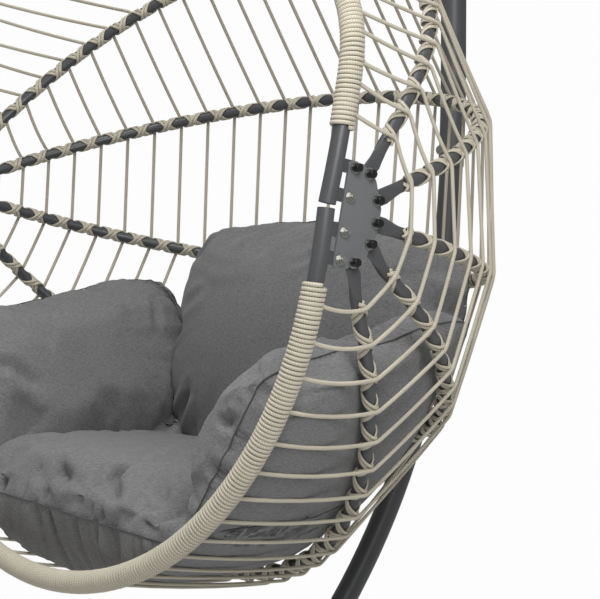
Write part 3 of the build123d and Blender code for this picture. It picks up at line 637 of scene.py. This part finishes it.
# bands that tie the ropes to the ribs: two pairs of flat strands wound opposite ways
bands = {
    "width": 0.0052,
    "thickness": 0.0026,
    "apart": 0.00702,
    "rise": 0.0024,
    "gap": 0.0002,
    "perTurn": 36,
    "pastEnd": 0.004,
}
for number, line in enumerate(ribLines, 1):
    places = sorted(knotPlace(line, step) for step in ropeSteps)
    pitch = places[1] - places[0]
    count = int((places[-1] - places[0]) / pitch * bands["perTurn"])
    place = np.linspace(places[0] - bands["pastEnd"], places[-1] + bands["pastEnd"], count)
    sweeps = Sweeps()
    for hand in (1, -1):
        for lane in (-0.5, 0.5):
            points, ways, outside = line.at(place + lane * bands["apart"])
            across = np.cross(ways, outside)
            phase = hand * 2 * math.pi * (place - places[0]) / pitch
            # one pair climbs over the other where they cross
            climb = bands["rise"] * np.abs(np.cos(phase)) ** 6 if hand < 0 else np.zeros(count)
            radius = basket["ribRadius"] + bands["thickness"] / 2 + bands["gap"] + climb
            spokes = outside * np.cos(phase)[:, None] + across * np.sin(phase)[:, None]
            strand = points + spokes * radius[:, None]
            flat = np.cross(np.gradient(strand, axis=0), spokes)
            sweeps.add(strand, flat, oval(bands["width"], bands["thickness"], 8))
    made = sweeps.piece(f"rib_{number}_bands", ropeBraid, "basket", "rope")
    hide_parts(f"rib_{number}_lashings")
print("ribs banded")


# cushions
bowlFacts = {
    "inset": 0.004,
    "swell": 0.018,  # how far the cushions push out between two ribs
    "ribShare": 0.4,
    "pastRim": 4,
    "middle": (0.0, 0.05, -0.10),
}


# inner face of the rope bowl, as a mesh between neighbouring ropes, that the stuffed cushions press against
def ropeBowl(facts):
    rows = []
    for step in ropeSteps:
        corners, outsides = ropeCorners(step)
        middle = corners[1:-1] - outsides * (2 * lacing["ring"] - basket["ribRadius"] * facts["ribShare"])
        # carried on past the rim, so that the way out through the rope ends is shut too
        past = middle[-1:] + (corners[-1:] - middle[-1:]) * facts["pastRim"]
        row = np.concatenate([corners[:1], middle, corners[-1:], past])
        fine = []
        swells = np.concatenate([outsides[:1], outsides, outsides[-1:]])
        for number, (before, after) in enumerate(zip(row, row[1:])):
            out = facts["swell"] if 0 < number < len(row) - 2 else 0.0
            swell = swells[min(number, len(swells) - 1)] * out
            for share in (0.0, 0.25, 0.5, 0.75):
                fine.append(before + (after - before) * share + swell * math.sin(math.pi * share))
        rows.append(np.array(fine + [row[-1]]))
    rows = [row - unit(row - hubPoint) * facts["inset"] for row in rows]
    across = len(rows[0])
    faces = []
    for i in range(len(rows) - 1):
        for j in range(across - 1):
            base = i * across + j
            faces.append((base, base + 1, base + across + 1, base + across))
    return BVHTree.FromPolygons([tuple(p) for row in rows for p in row], faces)


bowl = ropeBowl(bowlFacts)
bowlCentre = Vector(hubPoint + bowlFacts["middle"])


def insideBowl(points):
    held = []
    for point in points:
        way = Vector(point) - bowlCentre
        far = way.length
        hit = bowl.ray_cast(bowlCentre, way.normalized(), 2.0)
        if hit[0] is not None and hit[3] < far:
            point = bowlCentre + way.normalized() * hit[3]
        held.append(tuple(point))
    return np.array(held)


# two sheets of cloth sewn round the edge: even quads, full in the middle and drawn in at the corners
def pillowMesh(facts, spacing):
    width, height = facts["half"]
    across, up = (max(8, int(2 * size / spacing)) for size in (width, height))
    index, verts, faces = {}, [], []
    for sheet in (-1, 1):
        for i in range(across + 1):
            for j in range(up + 1):
                edge = i in (0, across) or j in (0, up)
                key = (i, j, 0 if edge else sheet)
                if key in index:
                    continue
                u, v = 2 * i / across - 1, 2 * j / up - 1
                far = max(abs(u), abs(v))
                rounding = 1.0
                if far:
                    square = facts["square"]
                    rounding = (abs(u / far) ** square + abs(v / far) ** square) ** (-1 / square)
                crowned = [max(0.0, 1 - abs(place) ** facts["crown"]) for place in (u, v)]
                full = (crowned[0] * crowned[1]) ** facts["plump"]
                index[key] = len(verts)
                depth = sheet * full * facts["depths"][0 if sheet < 0 else 1]
                verts.append((u * rounding * width, depth, v * rounding * height))
        for i in range(across):
            for j in range(up):
                quad = []
                for di, dj in ((0, 0), (1, 0), (1, 1), (0, 1)):
                    spot = (i + di, j + dj)
                    edge = spot[0] in (0, across) or spot[1] in (0, up)
                    quad.append(index[(*spot, 0 if edge else sheet)])
                faces.append(quad if sheet < 0 else quad[::-1])
    loop = [(i, 0) for i in range(across)] + [(across, j) for j in range(up)]
    loop += [(i, up) for i in range(across, 0, -1)] + [(0, j) for j in range(up, 0, -1)]
    seam = [index[(*spot, 0)] for spot in loop]
    points = np.array(verts)
    lifted = (1 - (points[:, 0] / width) ** 2) * (points[:, 2] / height + 1) / 2
    points[:, 2] += facts["arch"] * lifted
    points[:, 1] -= facts["curl"][0] * points[:, 0] ** 2 + facts["curl"][1] * points[:, 2] ** 2
    return points, faces, seam


def ripple(along, side, layer):
    return noise.noise(Vector((along, side, layer)))


# gathers: creases that run in from the seam and die away, each sheet with its own
def gather(points, normals, seam, facts, seed):
    tree = KDTree(len(seam))
    lengths = np.concatenate([[0], np.cumsum(np.linalg.norm(np.diff(points[seam], axis=0), axis=1))])
    for place, number in enumerate(seam):
        tree.insert(points[number], place)
    tree.balance()
    moved = points.copy()
    for number, point in enumerate(points):
        place, far = tree.find(point)[1:]
        if far > facts["gatherReach"] * 3:
            continue
        side = 7.3 if normals[number].dot(facts["front"]) > 0 else 2.1
        way = points[seam[min(place + 1, len(seam) - 1)]] - points[seam[max(place - 1, 0)]]
        past = float((point - points[seam[place]]) @ way) / max(float(np.linalg.norm(way)), 1e-6)
        along = lengths[place] + past
        # uneven spacing and lean, uneven depth, and a fade away from the seam
        drift = ripple(along * 9, side, seed) * 4.4 + ripple(along * 31, side, seed) * 1.6
        lean = far * 6 * ripple(along * 4, side, 1.0)
        wave = abs(math.sin(math.pi * along / facts["gatherPitch"] + drift + lean))
        crease = 0.6 * (wave - 1) + 0.4 * (wave**0.4 - 1)
        strength = 0.35 + 0.65 * max(0.0, ripple(along * 13, side, seed + 5) + 0.5)
        fade = math.exp(-((far / facts["gatherReach"]) ** 1.3)) * min(1.0, far / 0.006 + 0.15)
        moved[number] = point + normals[number] * (facts["gatherDepth"] * strength * fade * crease)
    return moved


# folds: valleys pressed into the cloth along lines, with a soft roll of cloth on each side
def fold(points, normals, lines):
    moved = points.copy()
    for depth, width, line in lines:
        line = np.array(line) + hubPoint
        nearest = np.full(len(points), 9.0)
        share = np.zeros(len(points))
        for number, (start, end) in enumerate(zip(line, line[1:])):
            way = end - start
            along = np.clip((points - start) @ way / way.dot(way), 0, 1)
            far = np.linalg.norm(points - start - along[:, None] * way, axis=1)
            closer = far < nearest
            nearest[closer] = far[closer]
            share[closer] = ((number + along) / (len(line) - 1))[closer]
        fade = np.sin(np.pi * np.clip(share * 0.9 + 0.07, 0, 1)) ** 0.6
        # the rolls stand 0.4 of the valley's depth, 2.2 widths to each side of it
        rolls = 0.4 * np.exp(-(((nearest - 2.2 * width) / width) ** 2))
        valley = rolls - np.exp(-((nearest / width) ** 1.5))
        moved += normals * (depth * fade * valley)[:, None]
    return moved


seamLine = {"thread": 0.0022, "out": 0.0002, "corners": 6}


# a sewn line: thread and cloth edge that lie in the groove of the seam, coloured darker than the cloth as
# painted shade of the groove
def sewnLine(points, seam, name):
    line = points[seam + seam[:1]]
    out = line - points.mean(axis=0)
    thread = oval(seamLine["thread"], seamLine["thread"], seamLine["corners"])
    sweeps = Sweeps()
    sweeps.add(line + unit(out) * seamLine["out"], out, thread, capped=False)
    return sweeps.piece(name, seamShadeCloth, "basket", "cushion_cloth")


def axes(facts):
    return np.array(Euler([math.radians(a) for a in facts["turned"]]).to_matrix())


# blows the cushion up with more cloth than it needs, held along its seam, so that it puckers there
def stuff(made, seam, facts):
    before = np.array([v.co for v in made.data.vertices])
    held = made.vertex_groups.new(name="seam")
    held.add(seam, 1.0, "REPLACE")
    blown = made.modifiers.new("cloth", "CLOTH")
    settings = blown.settings
    settings.quality = facts["quality"]
    settings.mass = facts["mass"]
    settings.tension_stiffness = settings.compression_stiffness = facts["stretch"]
    settings.shear_stiffness = facts["shear"]
    settings.bending_stiffness = facts["bending"]
    settings.use_pressure = True
    settings.uniform_pressure_force = facts["pressure"]
    settings.shrink_min = -facts["slack"]
    settings.vertex_group_mass = "seam"
    settings.pin_stiffness = 1.0
    settings.effector_weights.gravity = 0.0
    blown.collision_settings.use_collision = False
    blown.point_cache.frame_start, blown.point_cache.frame_end = 1, facts["frames"]
    bpy.context.view_layer.objects.active = made
    for number in range(1, facts["frames"] + 1):
        bpy.context.scene.frame_set(number)
    bpy.ops.object.modifier_apply(modifier="cloth")
    bpy.context.scene.frame_set(1)
    after = np.array([v.co for v in made.data.vertices])
    moved = after - before
    far = np.linalg.norm(moved, axis=1, keepdims=True)
    moved *= np.minimum(1.0, facts["mostMove"] / np.maximum(far, 1e-9))
    return before + moved


cushions = {
    "seat_cushion": {
        "centre": (0.0, 0.185, -0.470), "half": (0.410, 0.280), "depths": (0.058, 0.120),
        "turned": (-95.0, 0.0, 0.0), "square": 5.0, "crown": 3.0, "curl": (0.0, 0.0), "slack": 0.10,
        "mostMove": 0.022, "gatherDepth": 0.022, "gatherReach": 0.080, "gatherPitch": 0.066,
        "front": (0.0, 0.0, 1.0), "fill": 0.6,
    },
    "left_arm_cushion": {
        "centre": (-0.378, 0.185, -0.343), "half": (0.275, 0.160), "depths": (0.085, 0.160),
        "turned": (-25.0, -7.5, 90.0), "square": 4.5, "crown": 3.0, "curl": (0.5, 0.3), "slack": 0.08,
        "front": (1.0, 0.0, 0.0), "fill": 0.6,
    },
    "right_arm_cushion": {
        "centre": (0.383, 0.175, -0.325), "half": (0.265, 0.160), "depths": (0.080, 0.160),
        "turned": (-25.0, 7.0, -90.0), "square": 2.8, "crown": 3.0, "curl": (0.5, 0.3), "slack": 0.10,
        "front": (-1.0, 0.0, 0.0), "fill": 0.6,
    },
    "back_cushion": {
        "centre": (0.010, 0.425, -0.300), "half": (0.328, 0.205), "depths": (0.120, 0.160),
        "turned": (-6.0, 0.0, 0.0), "square": 14.0, "crown": 2.2, "curl": (0.0, 0.0), "slack": 0.10,
        "mostMove": 0.018, "arch": 0.045, "front": (0.0, -1.0, 0.0), "fill": 0.7,
    },
}
# each fold: its depth, its width and the places along it, in metres from the side plates' axis
folds = {
    "seat_cushion": [
        (0.020, 0.010, (
            (0.298, -0.130, -0.430), (0.209, -0.110, -0.408),
            (0.108, -0.043, -0.408), (-0.013, 0.087, -0.408),
        )),
        (0.015, 0.009, ((0.150, -0.100, -0.430), (0.085, -0.080, -0.408), (-0.020, -0.035, -0.408))),
        (0.014, 0.009, ((0.060, -0.100, -0.430), (0.000, -0.060, -0.408), (-0.100, 0.050, -0.408))),
        (0.012, 0.008, ((0.090, 0.030, -0.408), (-0.017, 0.181, -0.408))),
        (0.011, 0.008, ((-0.030, -0.090, -0.430), (-0.080, -0.040, -0.408))),
        (0.010, 0.008, ((0.307, -0.100, -0.420), (0.213, -0.037, -0.408), (0.168, 0.017, -0.408))),
        (0.014, 0.007, ((0.085, -0.078, -0.468), (0.136, -0.085, -0.510))),
        (0.012, 0.006, ((0.035, -0.078, -0.466), (0.063, -0.085, -0.500))),
        (0.012, 0.006, ((-0.020, -0.078, -0.469), (0.020, -0.085, -0.505))),
        (0.012, 0.006, ((0.140, -0.078, -0.464), (0.180, -0.085, -0.500))),
    ],
    "left_arm_cushion": [
        (0.014, 0.010, ((-0.300, 0.000, -0.206), (-0.280, 0.060, -0.215), (-0.270, 0.120, -0.240))),
        (0.012, 0.010, ((-0.300, 0.000, -0.275), (-0.280, 0.040, -0.285), (-0.270, 0.075, -0.320))),
        (0.008, 0.007, ((-0.310, 0.300, -0.185), (-0.290, 0.315, -0.225))),
        (0.009, 0.007, ((-0.320, 0.345, -0.200), (-0.290, 0.325, -0.250))),
        (0.009, 0.009, ((-0.270, 0.300, -0.400), (-0.270, 0.340, -0.330))),
    ],
    "right_arm_cushion": [
        (0.009, 0.006, ((0.385, -0.045, -0.270), (0.330, -0.030, -0.300))),
        (0.012, 0.007, ((0.345, -0.060, -0.338), (0.360, -0.017, -0.360), (0.390, 0.010, -0.370))),
        (0.009, 0.006, ((0.400, 0.010, -0.205), (0.350, 0.050, -0.225))),
        (0.010, 0.007, ((0.430, 0.110, -0.185), (0.440, 0.140, -0.215), (0.450, 0.160, -0.260))),
        (0.010, 0.007, ((0.330, -0.070, -0.410), (0.360, -0.060, -0.370))),
        (0.008, 0.006, ((0.360, -0.050, -0.317), (0.400, -0.015, -0.300))),
    ],
    "back_cushion": [
        (0.010, 0.010, ((-0.250, 0.360, -0.110), (-0.131, 0.320, -0.125), (-0.017, 0.310, -0.110))),
        (0.012, 0.008, ((0.050, 0.330, -0.110), (0.100, 0.350, -0.090), (0.147, 0.370, -0.070))),
        (0.010, 0.009, ((-0.240, 0.320, -0.400), (-0.171, 0.310, -0.330))),
        (0.008, 0.009, ((-0.230, 0.330, -0.200), (-0.150, 0.310, -0.160))),
    ],
}
# what every cushion shares unless its own facts say otherwise
stuffing = {
    "quality": 6, "mass": 0.25, "stretch": 25, "shear": 12, "bending": 0.2,
    "pressure": 3.5, "frames": 20, "mostMove": 0.028, "spacing": 0.009,
    "gatherDepth": 0.009, "gatherReach": 0.085, "gatherPitch": 0.062, "arch": 0.0,
    "plump": 0.55,  # lower is fuller towards the seam
    "sewnBehindRim": 0.012, "stuffedBehindRim": 0.008,
}
rimTurn = math.radians(rims["lower"]["turn"])
rimInward = np.array([0.0, -math.cos(rimTurn), math.sin(rimTurn)])


# keeps a point behind the lower rim's plane, which the cushions press up to from inside
def behindRim(points, clearance):
    depth = (points - hubPoint) @ rimInward - clearance
    over = np.minimum(depth, 0.0)
    return points - over[:, None] * rimInward


for seed, (node, facts) in enumerate(cushions.items()):
    facts = {**stuffing, **facts}
    points, faces, seam = pillowMesh(facts, facts["spacing"])
    points = points @ axes(facts).T + np.array(facts["centre"]) + hubPoint
    points = insideBowl(behindRim(points, facts["sewnBehindRim"]))
    mesh = bpy.data.meshes.new(node + "_stuffed")
    mesh.from_pydata(points.tolist(), [], faces)
    mesh.materials.append(cushionCloth)
    mesh.shade_smooth()
    made = bpy.data.objects.new(node + "_stuffed", mesh)
    bpy.context.scene.collection.objects.link(made)
    points = stuff(made, seam, facts)
    made.data.vertices.foreach_set("co", points.astype(np.float32).ravel())
    finer = made.modifiers.new("finer", "SUBSURF")
    finer.levels = 1
    bpy.ops.object.modifier_apply(modifier="finer")
    mesh = made.data
    points = np.array([v.co for v in mesh.vertices])
    normals = np.array([v.normal for v in mesh.vertices])
    points = fold(gather(points, normals, seam, facts, seed * 3.1), normals, folds[node])
    points = insideBowl(behindRim(points, facts["stuffedBehindRim"]))
    mesh.vertices.foreach_set("co", points.astype(np.float32).ravel())
    sewnLine(points, seam, node.replace("cushion", "seam"))
    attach(made, "basket")
    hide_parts(node)
    print(node, "stuffed")

# studio: pale floor, white all round, soft light from above and in front
studio = {"white": "#FDFDFD", "sky": 0.30}


def paperShader(tree, output, lit):
    ray = addNode(tree, "ShaderNodeLightPath")
    seen = addNode(tree, "ShaderNodeEmission", {"Color": linear(studio["white"]), "Strength": 1.0})
    mix = addNode(
        tree, "ShaderNodeMixShader", None,
        {0: ray.outputs["Is Camera Ray"], 1: lit, 2: seen.outputs[0]},
    )
    tree.links.new(mix.outputs[0], output.inputs["Surface"])


world = bpy.data.worlds.new("studio_air")
bpy.context.scene.world = world
world.use_nodes = True
tree = world.node_tree
tree.nodes.clear()
worldOut = addNode(tree, "ShaderNodeOutputWorld")
airLight = addNode(
    tree, "ShaderNodeBackground", {"Color": linear("#FFFFFF"), "Strength": studio["sky"]}
)
airSeen = addNode(
    tree, "ShaderNodeBackground", {"Color": linear(studio["white"]), "Strength": 1.0}
)
ray = addNode(tree, "ShaderNodeLightPath")
mix = addNode(
    tree, "ShaderNodeMixShader", None,
    {0: ray.outputs["Is Camera Ray"], 1: airLight.outputs[0], 2: airSeen.outputs[0]},
)
tree.links.new(mix.outputs[0], worldOut.inputs["Surface"])

# pale paper: matte and even, so that it melts into the white behind the chair
floorMaterial, tree, output = newMaterial("pale_paper_floor")
matte = addNode(tree, "ShaderNodeBsdfDiffuse", {"Color": linear("#EDEDED")})
paperShader(tree, output, matte.outputs[0])
floorMesh = bpy.data.meshes.new("floor")
floorMesh.from_pydata([(-6, -6, 0), (6, -6, 0), (6, 6, 0), (-6, 6, 0)], [], [(0, 1, 2, 3)])
floorMesh.materials.append(floorMaterial)
floor = bpy.data.objects.new("floor", floorMesh)
bpy.context.scene.collection.objects.link(floor)

lampsAimAt = Vector((0, -0.1, 0.9))
lamps = {
    "top": {"place": (0.1, -0.7, 3.2), "size": 1.2, "power": 42.0},
    "near": {"place": (1.55, -0.75, 1.75), "size": 0.8, "power": 21.0},
}
for name, lamp in lamps.items():
    light = bpy.data.lights.new(name, "AREA")
    light.size, light.energy = lamp["size"], lamp["power"]
    held = bpy.data.objects.new(name, light)
    held.location = lamp["place"]
    aim = lampsAimAt - Vector(lamp["place"])
    held.rotation_mode = "QUATERNION"
    held.rotation_quaternion = aim.to_track_quat("-Z", "Y")
    bpy.context.scene.collection.objects.link(held)
print("studio lit")
